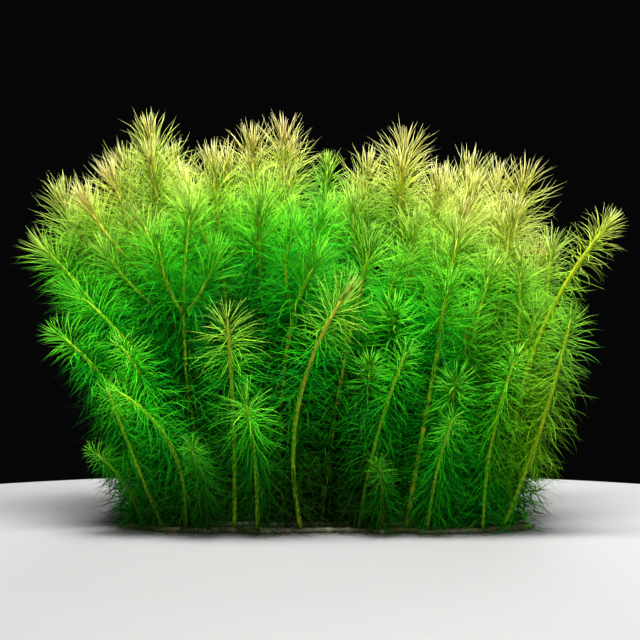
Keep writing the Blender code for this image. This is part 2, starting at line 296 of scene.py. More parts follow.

# What single shoots have of their own, among it how far each one's painted light is shifted.
HABITS = {
    "front_shoot_01": {"tint": 0.0, "tone": -0.1},
    "front_shoot_02": {"tint": 0.0, "tone": -0.05},
    "front_shoot_03": {"tint": 0.0, "tone": -0.12},
    "front_shoot_05": {"tint": 0.0, "tone": -0.1},
    "front_shoot_06": {"tint": 0.0, "tone": -0.02},
    "front_shoot_07": {
        "foot_angles": [5, 9, 45, 80, 88, 88, 86, 85, 85],
        "tip_angles": [0, 2, 60, 100, 110, 112, 112, 112, 115],
        "tint": 0.9,
        "tone": 0.26,
    },
    "front_shoot_08": {"star": 1.3, "young_length": 0.9, "tint": 0.0, "tone": 0.2},
    "front_shoot_09": {"star": 1.0, "young_length": 0.9, "tint": 0.7, "tone": 0.24},
    "front_inner_shoot_07": {"tint": 0.0, "tone": -0.16},
    "front_inner_shoot_08": {"tint": 0.0, "tone": -0.06},
    "front_inner_shoot_11": {
        "branches": 0,
        "spacing": 1.9,
        "leafy": 0.95,
        "stoutness": 1.35,
        "young_length": 0.8,
        "tint": 0.0,
        "tone": -0.12,
    },
    "middle_shoot_01": {"tint": 0.0, "tone": -0.2},
    "middle_shoot_12": {"tint": 0.5, "tone": -0.06},
    "back_inner_shoot_05": {"young_length": 0.62, "tint": 0.2, "tone": -0.24, "branches": 0},
    "back_inner_shoot_09": {"tint": 0.9, "tone": -0.14},
    "back_inner_shoot_11": {"tint": 0.5, "tone": -0.14},
}


def unit(vectors):
    return vectors / np.linalg.norm(vectors, axis=-1, keepdims=True)


def catmull_rom(points, spacing):
    """Points about this far apart on a smooth curve through the given ones."""
    points = [np.array(point, float) for point in points]
    ends = [2 * points[0] - points[1]] + points + [2 * points[-1] - points[-2]]
    path = []
    for before, start, end, after in zip(ends, ends[1:], ends[2:], ends[3:]):
        steps = max(1, round(np.linalg.norm(end - start) / spacing))
        for step in range(steps):
            t = step / steps
            path.append(
                0.5
                * (
                    2 * start
                    + (end - before) * t
                    + (2 * before - 5 * start + 4 * end - after) * t**2
                    + (3 * start - before - 3 * end + after) * t**3
                )
            )
    return np.array(path + [points[-1]])


class Axis:
    """A shoot's axis, the CAD part's parabola through its foot, its middle and its bud."""

    def __init__(self, foot, middle, bud):
        foot, middle, bud = (np.array(point, float) for point in (foot, middle, bud))
        lower = np.linalg.norm(middle - foot)
        knot = lower / (lower + np.linalg.norm(bud - middle))
        t = np.linspace(0, 1, AXIS_POINTS)[:, None]
        self.curve = (
            (t - knot) * (t - 1) / knot * foot
            + t * (t - 1) / (knot * (knot - 1)) * middle
            + t * (t - knot) / (1 - knot) * bud
        )
        runs = np.linalg.norm(np.diff(self.curve, axis=0), axis=1)
        self.distances = np.concatenate([[0], np.cumsum(runs)])
        self.length = self.distances[-1]

    def point(self, distance):
        distance = np.atleast_1d(distance)
        columns = [np.interp(distance, self.distances, self.curve[:, i]) for i in range(3)]
        return np.stack(columns, -1)

    def direction(self, distance):
        distance = np.clip(np.atleast_1d(distance), 1.0, self.length - 1.0)
        return unit(self.point(distance + 1.0) - self.point(distance - 1.0))

    def frames(self, distance):
        """(point, up, side, front) at each distance from the foot."""
        up = self.direction(distance)
        side = unit(np.cross(up, (0.0, -1.0, 0.0)))
        return self.point(distance), up, side, np.cross(up, side)


class MeshParts:
    """Vertices, faces and attributes of several closed shapes, gathered into one mesh."""

    def __init__(self):
        self.points, self.looks, self.corners, self.sizes = [], [], [], []
        self.uvs, self.slots = [], []
        self.count = 0

    def add(self, points, looks, faces, uvs, slot):
        """faces and uvs are lists of arrays, one array for each number of corners."""
        self.points.append(points)
        self.looks.append(looks)
        for block, places in zip(faces, uvs):
            self.corners.append((block + self.count).ravel())
            self.sizes.append(np.full(len(block), block.shape[1]))
            self.uvs.append(places.reshape(-1, 2))
            self.slots.append(np.full(len(block), slot))
        self.count += len(points)

    def build(self, name, materials, tint):
        points = np.concatenate(self.points).astype(np.float32) * MM
        corners = np.concatenate(self.corners).astype(np.int32)
        sizes = np.concatenate(self.sizes).astype(np.int32)
        mesh = bpy.data.meshes.new(name)
        mesh.vertices.add(len(points))
        mesh.vertices.foreach_set("co", points.ravel())
        mesh.loops.add(len(corners))
        mesh.loops.foreach_set("vertex_index", corners)
        mesh.polygons.add(len(sizes))
        starts = np.concatenate([[0], np.cumsum(sizes)[:-1]]).astype(np.int32)
        mesh.polygons.foreach_set("loop_start", starts)
        mesh.polygons.foreach_set("material_index", np.concatenate(self.slots).astype(np.int32))
        mesh.update(calc_edges=True)
        look = mesh.attributes.new(LOOK, "FLOAT_COLOR", "POINT")
        look.data.foreach_set("color", np.concatenate(self.looks).astype(np.float32).ravel())
        tints = mesh.attributes.new(TINT, "FLOAT", "POINT")
        tints.data.foreach_set("value", np.full(len(points), tint, np.float32))
        layer = mesh.uv_layers.new(name=BAKE_MAP)
        layer.uv.foreach_set("vector", np.concatenate(self.uvs).astype(np.float32).ravel())
        mesh.shade_smooth()
        for material in materials:
            mesh.materials.append(material)
        made = bpy.data.objects.new(name, mesh)
        bpy.context.scene.collection.objects.link(made)
        return made


def blade_faces(rings):
    """Quads, tip triangles and the foot triangle of one three-sided blade, with their UV places."""
    quads, quad_uvs, tips, tip_uvs = [], [], [], []
    for ring in range(rings - 1):
        for side in range(3):
            after = (side + 1) % 3
            low, high = 3 * ring, 3 * ring + 3
            quads.append((low + side, low + after, high + after, high + side))
            near, far = ring / rings, (ring + 1) / rings
            quad_uvs.append([(near, 0.0), (near, 1.0), (far, 1.0), (far, 0.0)])
    last = 3 * (rings - 1)
    for side in range(3):
        tips.append((last + side, last + (side + 1) % 3, 3 * rings))
        near = (rings - 1) / rings
        tip_uvs.append([(near, 0.0), (near, 1.0), (1.0, 0.5)])
    foot, foot_uvs = [(2, 1, 0)], [[(0.0, 0.0), (0.04, 0.5), (0.0, 1.0)]]
    faces = [np.array(quads), np.array(tips), np.array(foot)]
    return faces, [np.array(quad_uvs), np.array(tip_uvs), np.array(foot_uvs)]


def add_blades(parts, paths, sides, looks, widths, band, slot):
    """Closed blades along paths (blade, ring, xyz); the last point of each path is its tip."""
    count, rings = len(paths), paths.shape[1] - 1
    block_faces, block_uvs = blade_faces(rings)
    directions = unit(np.gradient(paths, axis=1))
    sides = sides[:, None, :]
    sides = unit(sides - (sides * directions).sum(-1, keepdims=True) * directions)
    normals = np.cross(directions, sides)
    u = np.linspace(0, 1, rings + 1)
    profile = np.interp(u, OUTLINE_PLACES, OUTLINE_WIDTHS)
    half = 0.5 * widths[:, None, None] * profile[None, :, None]
    thick = half * 2 * THICKNESS_SHARE
    rim = np.stack(
        [paths - sides * half, paths + normals * thick * RIDGE_SHARE, paths + sides * half], axis=2
    )[:, :rings]
    points = np.concatenate([rim.reshape(count, -1, 3), paths[:, -1:, :]], axis=1)
    values = np.empty((count, 3 * rings + 1, 4))
    values[..., 0] = np.concatenate([np.repeat(u[:rings], 3), [1.0]])
    values[..., 1:] = looks[:, None, :]
    first = (3 * rings + 1) * np.arange(count)
    faces = [
        (block[None] + first[:, None, None]).reshape(-1, block.shape[1]) for block in block_faces
    ]
    rows = np.arange(count)
    uvs = []
    for block in block_uvs:
        places = np.broadcast_to(block, (count, *block.shape)).copy()
        places[..., 0] = BLADE_MARGIN + (1 - 2 * BLADE_MARGIN) * places[..., 0]
        share = (rows[:, None, None] + ROW_SHARE * places[..., 1]) / count
        places[..., 1] = band[0] + (band[1] - band[0]) * share
        uvs.append(places.reshape(-1, block.shape[1], 2))
    parts.add(points.reshape(-1, 3), values.reshape(-1, 4), faces, uvs, slot)


def add_tube(parts, centres, sides, fronts, radii, looks, count, band, slot):
    """A closed tube of rings round the centres; looks has one row for each ring."""
    rings = len(centres)
    steps = np.arange(count)
    nexts = (steps + 1) % count
    angles = math.tau * steps / count
    outward = (
        np.cos(angles)[None, :, None] * sides[:, None, :]
        + np.sin(angles)[None, :, None] * fronts[:, None, :]
    )
    points = (centres[:, None, :] + radii[:, None, None] * outward).reshape(-1, 3)
    points = np.vstack([points, centres[:1], centres[-1:]])
    values = np.vstack([np.repeat(looks, count, axis=0), looks[:1], looks[-1:]])

    ring, step = np.meshgrid(np.arange(rings - 1), steps, indexing="ij")
    ring, step = ring.ravel(), step.ravel()
    low, high, after = ring * count, (ring + 1) * count, (step + 1) % count
    quads = np.stack([low + step, low + after, high + after, high + step], -1)
    u0, u1 = ring / (rings - 1), (ring + 1) / (rings - 1)
    v0, v1 = step / count, (step + 1) / count
    corners = ((u0, v0), (u0, v1), (u1, v1), (u1, v0))
    quad_uvs = np.stack([np.stack(corner, -1) for corner in corners], 1)
    quad_uvs[..., 0] = TUBE_MARGIN + (1 - 2 * TUBE_MARGIN) * quad_uvs[..., 0]
    quad_uvs[..., 1] = band[0] + (band[1] - band[0]) * quad_uvs[..., 1]

    last = (rings - 1) * count
    foot_cap = np.stack([nexts, steps, np.full(count, rings * count)], -1)
    tip_cap = np.stack([last + steps, last + nexts, np.full(count, rings * count + 1)], -1)
    caps = np.vstack([foot_cap, tip_cap])
    cap_uvs = np.zeros((2 * count, 3, 2))
    cap_uvs[:count, :, 0] = FOOT_CAP_PLACES
    cap_uvs[count:, :, 0] = TIP_CAP_PLACES
    round_share = np.tile(np.stack([steps, steps + 1, steps + 0.5], -1) / count, (2, 1))
    cap_uvs[..., 1] = band[0] + (band[1] - band[0]) * round_share
    parts.add(points, values, [quads, caps], [quad_uvs, cap_uvs], slot)


def by_age(values, age):
    """One of the whorl lists read at these ages."""
    return np.interp(age, WHORL_AGES, values)


def whorl_distances(axis, habit):
    """Distances from the foot of the shoot's whorls, closer together towards the bud."""
    below, places = FIRST_WHORL, []
    while below < axis.length - BARE_FOOT:
        places.append(axis.length - below)
        height = axis.point(axis.length - below)[0, 2]
        step = by_age(WHORL_SPACING, below / habit["size"]) * habit["size"]
        step *= np.interp(below, SPACED_AGES, (1.0, habit["spacing"]))
        below += step * np.interp(height, habit["deep_heights"], (DEEP_GAP, 1.0))
    return np.array(places)


def painted_light(points):
    """The level of light and shade painted into leaf and stem colours here, 0 at the ground to 1 at
    the top.
    """
    heights = points[:, 2] + np.interp(points[:, 0], LIGHT_PLACES, LIGHT_RISES)
    low = np.interp(points[:, 2], LOW_HEIGHTS, (1.0, 0.0))
    heights += low * np.interp(points[:, 0], LIGHT_PLACES, LOW_RISES)
    return np.interp(heights, LIGHT_HEIGHTS, LIGHT_LEVELS)


def leaf_paths(axis, nodes, habit, rng):
    """Every leaf of a stem as points from its foot to its tip, with its age and its own side."""
    size = habit["size"]
    below = (axis.length - nodes) / size
    counts = by_age(LEAVES_ROUND, below) * habit["leafy"] + rng.normal(0, COUNT_SPREAD, len(below))
    counts = np.maximum(FEWEST_LEAVES, np.round(counts)).astype(int)
    whorl = np.repeat(np.arange(len(nodes)), counts)
    number = np.concatenate([np.arange(n) for n in counts])
    total = len(whorl)
    age = below[whorl]
    spin = rng.uniform(0, math.tau, len(nodes))[whorl]
    azimuth = spin + math.tau * number / counts[whorl] + rng.normal(0, AZIMUTH_SPREAD, total)
    centre, up, side, front = axis.frames(nodes[whorl] + rng.normal(0, FOOT_SPREAD, total))
    outward = np.cos(azimuth)[:, None] * side + np.sin(azimuth)[:, None] * front
    round_way = np.cross(up, outward)
    youth = np.interp(age, YOUNG_AGES, (1, 0))
    lengths = by_age(LEAF_LENGTHS, age) * size * rng.uniform(*LENGTH_RANGE, total)
    lengths *= 1 + (habit["young_length"] - 1) * youth
    lengths *= np.interp(centre[:, 2], habit["deep_heights"], (DEEP_LENGTH, 1.0))
    scatter = by_age(ANGLE_SCATTERS, age)
    foot_angle = by_age(habit["foot_angles"], age) + scatter * rng.normal(0, 1.0, total)
    tip_angle = by_age(habit["tip_angles"], age) + scatter * rng.normal(0, TIP_SCATTER, total)
    foot_angle, tip_angle = np.radians(foot_angle), np.radians(tip_angle)
    sag = by_age(SAGS, age) * rng.uniform(*SAG_RANGE, total)
    wave = by_age(WAVES, age)
    wave *= np.interp(centre[:, 2], habit["deep_heights"], (DEEP_WAVE, 1.0))
    sideways = rng.normal(0, SIDE_LEAN, total) + wave * rng.normal(0, SIDE_WAVE, total)
    phase, turns = rng.uniform(0, math.tau, total), rng.uniform(*WAVE_TURNS, total)

    place = centre + outward * (by_age(STEM_RADII, age) * size * LEAF_START)[:, None]
    path = [place]
    for step in range(PATH_STEPS):
        u = (step + 0.5) / PATH_STEPS
        angle = foot_angle + (tip_angle - foot_angle) * u**BEND_POWER
        angle = angle + UP_WAVE * wave * np.sin(phase + turns * u) * u
        turn = sideways * u * 2 + ROUND_WAVE * wave * np.cos(phase * 2 + turns * u)
        direction = (
            np.cos(angle)[:, None] * up
            + (np.sin(angle) * np.cos(turn))[:, None] * outward
            + (np.sin(angle) * np.sin(turn))[:, None] * round_way
        )
        direction[:, 2] -= sag * u * SAG_PULL
        place = place + unit(direction) * (lengths / PATH_STEPS)[:, None]
        path.append(place)
    paths = np.stack(path, axis=1)
    floor = LOWEST_LEAF + rng.uniform(0, LOWEST_SPREAD, total)[:, None]
    paths[..., 2] = np.maximum(paths[..., 2], floor)
    return paths, age, round_way


def add_leaves(parts, stems, habit, rng):
    """All the leaves of a shoot's stems: the straight and the hidden ones have fewer rings."""
    grown = [leaf_paths(axis, nodes, habit, rng) for axis, nodes in stems]
    paths, age, sides = (np.concatenate(pieces) for pieces in zip(*grown))
    total = len(paths)
    # Each leaf's level of painted light and shade, by its height and place, shifted by the shoot's
    # own share.
    light = painted_light(0.5 * (paths[:, 0] + paths[:, -1]))
    light += habit["tone"] * np.interp(age, LIGHT_SHIFT_AGES, (1.0, OLD_LIGHT_SHIFT))
    looks = np.stack([np.clip(age / OLDEST, 0, 1), rng.uniform(0, 1, total), light], -1)
    widths = by_age(LEAF_WIDTHS, age) * rng.uniform(*WIDTH_RANGE, total)
    openness = np.clip(habit["star"], 0, 1)
    widths *= 1 - STAR_THINNING * openness * np.interp(age, YOUNG_AGES, (1, 0))
    height = paths[:, 0, 2]
    widths *= np.interp(height, habit["deep_heights"], (habit["deep_breadth"], 1.0))
    hidden = height < habit["deep_heights"][1]
    simple = ~hidden & (age < CURVED_FROM)
    curved = ~(hidden | simple)
    low = 0.0
    for chosen, rings in (
        (hidden, HIDDEN_RINGS),
        (simple, SIMPLE_RINGS),
        (curved, habit["rings"]),
    ):
        if chosen.any():
            high = low + LEAF_ROWS * chosen.mean()
            kept, facing = paths[chosen][:, :: PATH_STEPS // rings], sides[chosen]
            add_blades(parts, kept, facing, looks[chosen], widths[chosen], (low, high), LEAF_SLOT)
            low = high


def add_stem(parts, axis, nodes, habit, band):
    """The jointed stem: a ring at each whorl, slightly swollen, and one between whorls."""
    size = habit["size"]
    nodes = nodes[::-1]
    nodes = nodes[(axis.length - nodes) > JOINTS_BELOW * size]
    nodes = nodes[:: 2 if len(nodes) > MANY_JOINTS else 1]
    middles = (nodes[1:] + nodes[:-1]) / 2
    distances = np.sort(np.concatenate([[0.0], nodes, middles, [axis.length - STEM_END]]))
    swollen = np.isin(distances, nodes)
    below = (axis.length - distances) / size
    radii = by_age(STEM_RADII, below) * size * np.where(swollen, JOINT_SWELL, 1.0)
    radii *= habit["stoutness"]
    radii[-1] *= STEM_END_SHARE
    centre, _, side, front = axis.frames(distances)
    joint, age = np.where(swollen, 1.0, 0.0), np.clip(below / OLDEST, 0, 1)
    # Each ring's level of painted light and shade, shifted by the shoot's own share.
    tint, light = np.full(len(distances), habit["tint"]), painted_light(centre) + habit["tone"]
    looks = np.stack([joint, age, tint, light], -1)
    add_tube(parts, centre, side, front, radii, looks, habit["sides"], band, STEM_SLOT)


def roomiest(places, taken):
    """The place within BRANCH_LIMITS that is farthest from the buds in taken."""
    left, right, breadth = BRANCH_LIMITS
    inside = [place for place in places if left < place[0] < right and abs(place[1]) < breadth]
    return max(inside, key=lambda place: min(np.linalg.norm(place - other) for other in taken))


def side_bud(bud, taken, drops, rng):
    """Where a side branch's bud finds most room beside the main one, a little lower."""
    places = []
    for _ in range(BRANCH_TRIES):
        heading, reach = rng.uniform(0, math.tau), rng.uniform(*SIDE_REACH)
        away = (reach * math.cos(heading), reach * math.sin(heading), -rng.uniform(*drops))
        places.append(np.array(bud) + away)
    return roomiest(places, taken)


def side_branch(axis, bud, end):
    """The axis of a branch that leaves the stem below its crown and grows up beside it."""
    foot = axis.point(axis.length - SIDE_BELOW)[0]
    return Axis(foot, 0.5 * (foot + end) + SIDE_BOW * (end - np.array(bud)) * (1, 1, 0), end)


def basal_branch(axis, taken, rng):
    """The axis of a branch from near the stem's foot that leans back to where most room is."""
    places = []
    for _ in range(BRANCH_TRIES):
        beside = axis.point(rng.uniform(*BASAL_HEIGHTS))[0]
        heading, reach = rng.uniform(*BASAL_HEADINGS), rng.uniform(*BASAL_REACH)
        places.append(beside + (reach * math.cos(heading), reach * math.sin(heading), 0))
    end = roomiest(places, taken)
    foot = axis.point(rng.uniform(*BASAL_START))[0]
    return Axis(foot, 0.5 * (foot + end) + BASAL_BOW * (end - foot) * (1, 1, 0), end)


def shoot_habit(name, row, bud, size, rng):
    """How a shoot grows: by its row, its bud's place, chance and what HABITS says of it."""
    habit = {
        "size": size,
        "leafy": 1.0,
        "stoutness": 1.0,
        "spacing": ROW_SPACINGS[row],
        "deep_heights": DEEP_HEIGHTS.get(row, NOT_DEEP),
        "deep_breadth": DEEP_BREADTHS.get(row, 1.0),
        "rings": SMOOTH_RINGS if row in ("front", "front_inner") else CURVED_RINGS,
        "sides": STEM_SIDES if row == "front" else INNER_STEM_SIDES,
        "star": np.interp(bud[2], STAR_HEIGHTS, STAR_SHARES) + rng.uniform(*STAR_SPREAD),
        "young_length": np.interp(bud[2], YOUNG_HEIGHTS, YOUNG_LENGTHS),
        "tone": rng.normal(0, LIGHT_SHIFT_SPREAD),
        "tint": rng.uniform(0, 1) * np.interp(bud[0], TINT_PLACES, TINT_SHARES),
        "branches": (bud[2] > BRANCHED_ABOVE) + (bud[2] > TWICE_BRANCHED_ABOVE),
    }
    habit.update(HABITS.get(name, {}))
    for key, tuft, star in (
        ("foot_angles", FOOT_ANGLES, STAR_FOOT_ANGLES),
        ("tip_angles", TIP_ANGLES, STAR_TIP_ANGLES),
    ):
        opened = np.array(tuft) + habit["star"] * (np.array(star) - np.array(tuft))
        habit.setdefault(key, opened)
    return habit


def shoot_piece(name, row, shoot, taken, materials, rng):
    """A shoot's stem, branches and leaves in one mesh; its branches' buds join those in taken."""
    foot, middle, bud, size = shoot
    habit = shoot_habit(name, row, bud, size, rng)
    openness = np.clip(habit["star"], 0, 1)
    end = np.array(bud) + STAR_RISE * openness * unit(np.subtract(bud, middle))
    main_axis = Axis((*foot, SHOOT_FOOT_HEIGHT), middle, end)
    main_axis.length -= TUFT_DROP * (1 - openness) * size
    axes = [main_axis]
    for drops in SIDE_DROPS[: habit["branches"]]:
        end = side_bud(bud, taken, drops, rng)
        taken.append(end)
        axes.append(side_branch(main_axis, bud, end))
    for _ in range(BASAL_COUNTS.get(row, 0) if bud[2] > BASAL_ABOVE else 0):
        branch = basal_branch(main_axis, taken, rng)
        taken.append(branch.curve[-1])
        axes.append(branch)
    stems = [(axis, whorl_distances(axis, habit)) for axis in axes]
    parts = MeshParts()
    add_leaves(parts, stems, habit, rng)
    low, high = STEM_BAND
    for number, (axis, nodes) in enumerate(stems):
        band = [low + (high - low) * edge / len(stems) for edge in (number, number + 1)]
        add_stem(parts, axis, nodes, habit, band)
    return parts.build(name + "_leaves", materials, habit["tint"])


def rootlets(path, rng):
    """Thin wavy roots that leave a creeping stem in tufts and lie on the ground."""
    tufts = np.arange(ROOT_TUFT_MARGIN, len(path) - ROOT_TUFT_MARGIN, ROOT_TUFT_STEP)
    foot = np.repeat(tufts, ROOTS_IN_TUFT) + rng.integers(-1, 2, len(tufts) * ROOTS_IN_TUFT)
    total = len(foot)
    along = unit(path[foot + 1] - path[foot - 1])
    across = np.stack([-along[:, 1], along[:, 0]], -1)
    side = rng.choice((-1.0, 1.0), total)
    lean = rng.uniform(-ROOT_LEAN, ROOT_LEAN, total)
    lengths = rng.uniform(*ROOT_LENGTHS, total)
    phase, turns = rng.uniform(0, math.tau, total), rng.uniform(*ROOT_TURNS, total)
    climb = rng.uniform(0.0, ROOT_CLIMB, total)
    start = CREEPING_RADIUS * ROOT_START
    place = path[foot] + across * (side * start * np.cos(climb))[:, None]
    height = CREEPING_AXIS_HEIGHT + start * np.sin(climb)
    points = [np.column_stack([place, height])]
    for step in range(PATH_STEPS):
        u = (step + 0.5) / PATH_STEPS
        turn = lean + ROOT_WAVE * np.sin(phase + turns * u)
        way = np.cos(turn)[:, None] * across * side[:, None] + np.sin(turn)[:, None] * along
        place = place + way * (lengths / PATH_STEPS)[:, None]
        level = ROOT_LEVEL + (height - ROOT_LEVEL) * max(0.0, 1 - ROOT_DROP * u)
        level = level + ROOT_LIFT * u * rng.uniform(0, 1, total)
        points.append(np.column_stack([place, level]))
    return np.stack(points, axis=1)


def creeping_piece(name, path, material, rng):
    """A knobbly tube, flat at z = 0 where it was cut from the ground, with its rootlets."""
    count = len(path)
    centres = np.column_stack([path, np.full(count, CREEPING_AXIS_HEIGHT)])
    along = unit(np.gradient(centres, axis=0))
    sides = unit(np.cross(along, (0.0, 0.0, 1.0)))
    fronts = np.cross(along, sides)
    joint = (np.arange(count) % CREEPING_JOINT_STEP == 0).astype(float)
    uneven = CREEPING_UNEVENNESS * rng.uniform(-1, 1, count)
    radii = CREEPING_RADIUS * (1 - CREEPING_KNOB + CREEPING_KNOB * joint + uneven)
    looks = np.stack([joint, np.ones(count), rng.uniform(0, 1, count), np.zeros(count)], -1)
    parts = MeshParts()
    add_tube(parts, centres, sides, fronts, radii, looks, CREEPING_SIDES, CREEPING_BAND, SKIN_SLOT)
    skin = parts.points[0]
    skin[:, 2] = np.maximum(skin[:, 2], 0.0)
    roots = rootlets(path, rng)[:, :: PATH_STEPS // CURVED_RINGS]
    total = len(roots)
    looks = np.stack([np.ones(total), rng.uniform(0, 1, total), np.zeros(total)], -1)
    across = np.tile(ROOT_FACING, (total, 1))
    widths = rng.uniform(*ROOT_WIDTHS, total)
    add_blades(parts, roots, across, looks, widths, (0.0, ROOT_ROWS), SKIN_SLOT)
    return parts.build(name, [material], tint=0.5)


# Colours by age, from 0 at the bud to 1 at OLDEST: painted deep shade, painted shade and painted
# sunlight for the leaves, and painted shade, painted sunlight and their red for the stems.
DEEP_SHADE_LEAVES = [
    (0.0, (0.06, 0.34, 0.01)),
    (0.15, (0.012, 0.17, 0.004)),
    (0.5, (0.009, 0.06, 0.002)),
    (1.0, (0.02, 0.034, 0.003)),
]
SHADED_LEAVES = [
    (0.0, (0.19, 0.74, 0.03)),
    (0.06, (0.10, 0.68, 0.015)),
    (0.12, (0.035, 0.58, 0.008)),
    (0.2, (0.012, 0.47, 0.004)),
    (0.3, (0.006, 0.39, 0.003)),
    (0.7, (0.006, 0.26, 0.002)),
    (1.0, (0.016, 0.20, 0.003)),
]
SUNLIT_LEAVES = [
    (0.0, (0.66, 0.60, 0.11)),
    (0.05, (0.66, 0.68, 0.07)),
    (0.12, (0.62, 0.76, 0.05)),
    (0.30, (0.53, 0.77, 0.014)),
    (0.6, (0.34, 0.60, 0.006)),
    (1.0, (0.24, 0.52, 0.005)),
]
SHADED_STEM = [(0.0, (0.18, 0.48, 0.01)), (0.3, (0.12, 0.34, 0.003)), (1.0, (0.09, 0.22, 0.002))]
SUNLIT_STEM = [(0.0, (0.46, 0.56, 0.02)), (0.3, (0.34, 0.44, 0.005)), (1.0, (0.25, 0.35, 0.004))]
RED_STEM = [(0.0, (0.45, 0.30, 0.08)), (0.3, (0.34, 0.17, 0.025)), (1.0, (0.14, 0.12, 0.015))]

# Single colours: the red bud; the pale tips in painted shade, in painted sunlight and in full
# painted sun; the joint band; the stems in deep painted shade; and the creeping skin.
RED_BUD = (0.62, 0.30, 0.12)
SHADED_TIP = (0.10, 0.62, 0.015)
SUNLIT_TIP = (0.80, 0.84, 0.20)
FULL_SUN_TIP = (0.86, 0.84, 0.52)
STEM_JOINT = (0.44, 0.44, 0.02)
DEEP_SHADE_STEM = (0.035, 0.06, 0.004)
PALE_SKIN = (0.24, 0.19, 0.08)
SKIN_BLOTCHES = [
    (0.3, (0.02, 0.016, 0.007)),
    (0.5, (0.045, 0.04, 0.012)),
    (0.7, (0.055, 0.075, 0.015)),
]

# How fast red and pale tips fade with age or along the leaf, how painted light pales the tips, and
# how much the leaves vary.
RED_FADE = 16.0
RED_FADE_ALONG = 0.6
PALE_FADE = 2.6
PALE_SHARE = 0.7
PALE_POWER = 2.2
PALE_IN_SUN = 0.75
FULL_SUN_POWER = 2.0
VALUE_POWER, VALUE_RANGE, LOWEST_VALUE = 1.5, 0.6, 0.7
HUE_RANGE, HIGHEST_HUE = -0.024, 0.514
TRANSLUCENCY = 0.3
RED_STEM_EXTRA = 0.2
SUNLIT_STEM_RATE = 2.0
JOINT_POWER, JOINT_SHARE = 3.0, 0.75
SKIN_PALENESS = 0.5

# The Mix node has a set of sockets for each kind of value: these are its factor and colours.
MIX_INPUTS = (0, 6, 7)
MIX_RESULT = 2


def feed(tree, socket, value):
    """Link the socket to another node's output, or set it to a number or a colour."""
    if isinstance(value, bpy.types.NodeSocket):
        tree.links.new(value, socket)
    elif isinstance(value, tuple):
        socket.default_value = (*value, 1.0)
    else:
        socket.default_value = value


def node(tree, kind, **inputs):
    made = tree.nodes.new(kind)
    for key, value in inputs.items():
        feed(tree, made.inputs[key], value)
    return made


def ramp(tree, factor, stops):
    made = node(tree, "ShaderNodeValToRGB", Fac=factor)
    elements = made.color_ramp.elements
    while len(elements) < len(stops):
        elements.new(0.5)
    for element, (place, colour) in zip(elements, stops):
        element.position = place
        element.color = (*colour, 1.0)
    return made.outputs["Color"]


def math_node(tree, operation, first, second, clamp=False):
    made = tree.nodes.new("ShaderNodeMath")
    made.operation = operation
    made.use_clamp = clamp
    for socket, value in zip(made.inputs, (first, second)):
        feed(tree, socket, value)
    return made.outputs["Value"]


def product(tree, first, second, clamp=False):
    return math_node(tree, "MULTIPLY", first, second, clamp)


def power(tree, base, exponent):
    return math_node(tree, "POWER", base, exponent)


def scaled(tree, value, factor, offset):
    return math_node(tree, "ADD", product(tree, value, factor), offset)


def fading(tree, value, rate):
    """1 at 0, and less by rate for each 1 of the value, down to 0."""
    return math_node(tree, "SUBTRACT", 1.0, product(tree, value, rate), clamp=True)


def sunlit_share(tree, light):
    """0 up to SHADE_LEVEL and 1 in full light."""
    above = math_node(tree, "SUBTRACT", light, SHADE_LEVEL)
    return math_node(tree, "DIVIDE", above, 1 - SHADE_LEVEL, clamp=True)


def mix_colour(tree, factor, first, second):
    made = tree.nodes.new("ShaderNodeMix")
    made.data_type = "RGBA"
    for index, value in zip(MIX_INPUTS, (factor, first, second)):
        feed(tree, made.inputs[index], value)
    return made.outputs[MIX_RESULT]


def look_values(tree):
    """The four numbers of the attribute LOOK."""
    read = tree.nodes.new("ShaderNodeAttribute")
    read.attribute_name = LOOK
    split = node(tree, "ShaderNodeSeparateColor", Color=read.outputs["Color"])
    return (*(split.outputs[name] for name in ("Red", "Green", "Blue")), read.outputs["Alpha"])


def new_material(name, roughness):
    """A material with its node tree and its Principled shader."""
    material = bpy.data.materials.new(name)
    material.use_nodes = True
    tree = material.node_tree
    shader = tree.nodes["Principled BSDF"]
    shader.inputs["Roughness"].default_value = roughness
    return material, tree, shader


